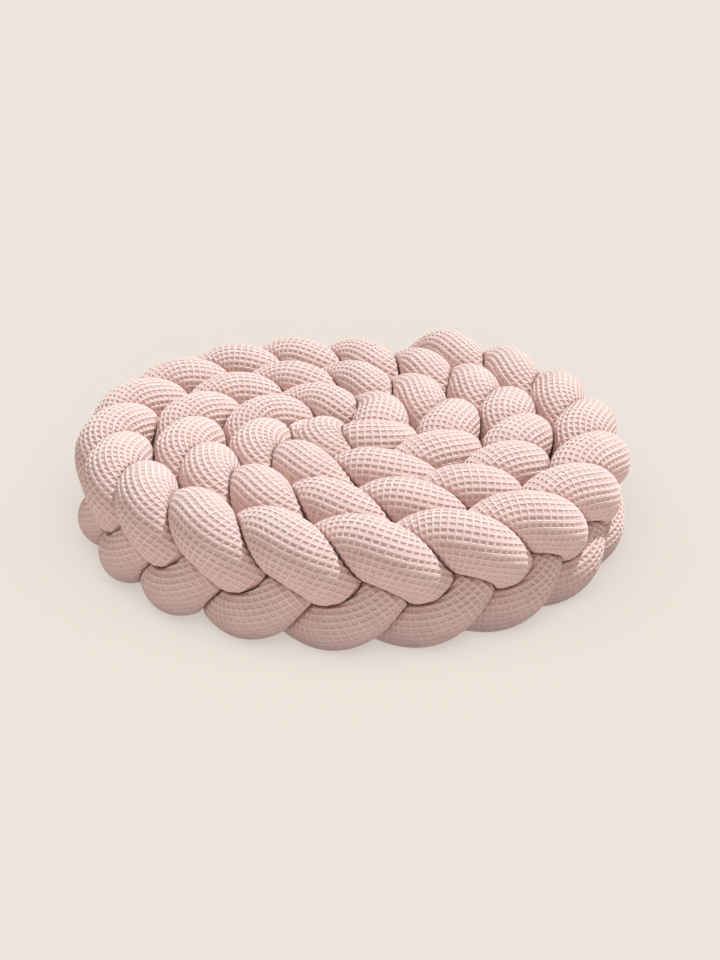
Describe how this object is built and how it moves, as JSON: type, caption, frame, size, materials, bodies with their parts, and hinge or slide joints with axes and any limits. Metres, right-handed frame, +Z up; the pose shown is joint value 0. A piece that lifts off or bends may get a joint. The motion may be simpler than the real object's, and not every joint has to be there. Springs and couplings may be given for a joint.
{
  "type": "braided crib bumper",
  "caption": "Stuffed waffle-cloth tubes plaited into a soft cot bumper and wound into a flat spiral coil that rests on its edge.",
  "frame": {"origin": "middle of the coil's footprint, at floor level", "axes": "+Z up off the floor, +Y towards the back of the coil, where its outer end lies"},
  "size_m": [0.5994, 0.6204, 0.1311],
  "materials": {
    "waffle_cotton": "matt waffle-woven cotton, dusty pink"
  },
  "bodies": {
    "root": {"strand_1": "waffle_cotton", "strand_2": "waffle_cotton", "strand_3": "waffle_cotton"}
  },
  "joints": []
}
